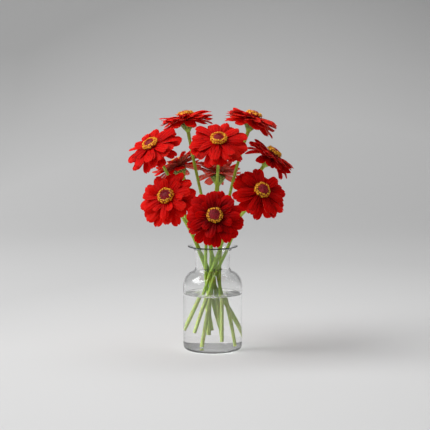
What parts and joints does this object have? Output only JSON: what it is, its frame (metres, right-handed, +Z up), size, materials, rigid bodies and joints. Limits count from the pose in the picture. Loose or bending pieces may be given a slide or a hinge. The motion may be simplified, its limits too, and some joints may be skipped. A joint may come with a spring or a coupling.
{
  "type": "zinnia flowers in glass vase",
  "caption": "Bunch of red zinnia flowers with layered petals, dark discs ringed with yellow florets and green stems, standing in a clear glass bottle vase part filled with water.",
  "frame": {"origin": "centre of the vase's foot, on the surface that it stands on", "axes": "+Z up along the vase's axis, -Y towards the front of the bunch, +X to its right"},
  "size_m": [0.1904, 0.1704, 0.2876],
  "materials": {
    "glass": "clear polished glass",
    "water": "clear still water",
    "stem": "fresh green stem, finely ribbed and a little waxy, with scaly bracts under the head",
    "petal": "velvety red above, paler and dusty below, with fine veins along its length",
    "disc": "dark red-brown chaff, rough and dull",
    "floret": "yellow to orange, powdery with pollen"
  },
  "bodies": {
    "root": {"vase": "glass", "water": "water", "stem_1": "stem", "petals_1": "petal", "disc_1": "disc", "floret_ring_1": "floret", "stem_2": "stem", "petals_2": "petal", "disc_2": "disc", "floret_ring_2": "floret", "stem_3": "stem", "petals_3": "petal", "disc_3": "disc", "floret_ring_3": "floret", "stem_4": "stem", "petals_4": "petal", "disc_4": "disc", "floret_ring_4": "floret", "stem_5": "stem", "petals_5": "petal", "disc_5": "disc", "floret_ring_5": "floret", "stem_6": "stem", "petals_6": "petal", "disc_6": "disc", "floret_ring_6": "floret", "stem_7": "stem", "petals_7": "petal", "disc_7": "disc", "floret_ring_7": "floret", "stem_8": "stem", "petals_8": "petal", "disc_8": "disc", "floret_ring_8": "floret", "stem_9": "stem", "petals_9": "petal", "disc_9": "disc", "floret_ring_9": "floret", "stem_10": "stem", "petals_10": "petal", "disc_10": "disc", "floret_ring_10": "floret"}
  },
  "joints": []
}
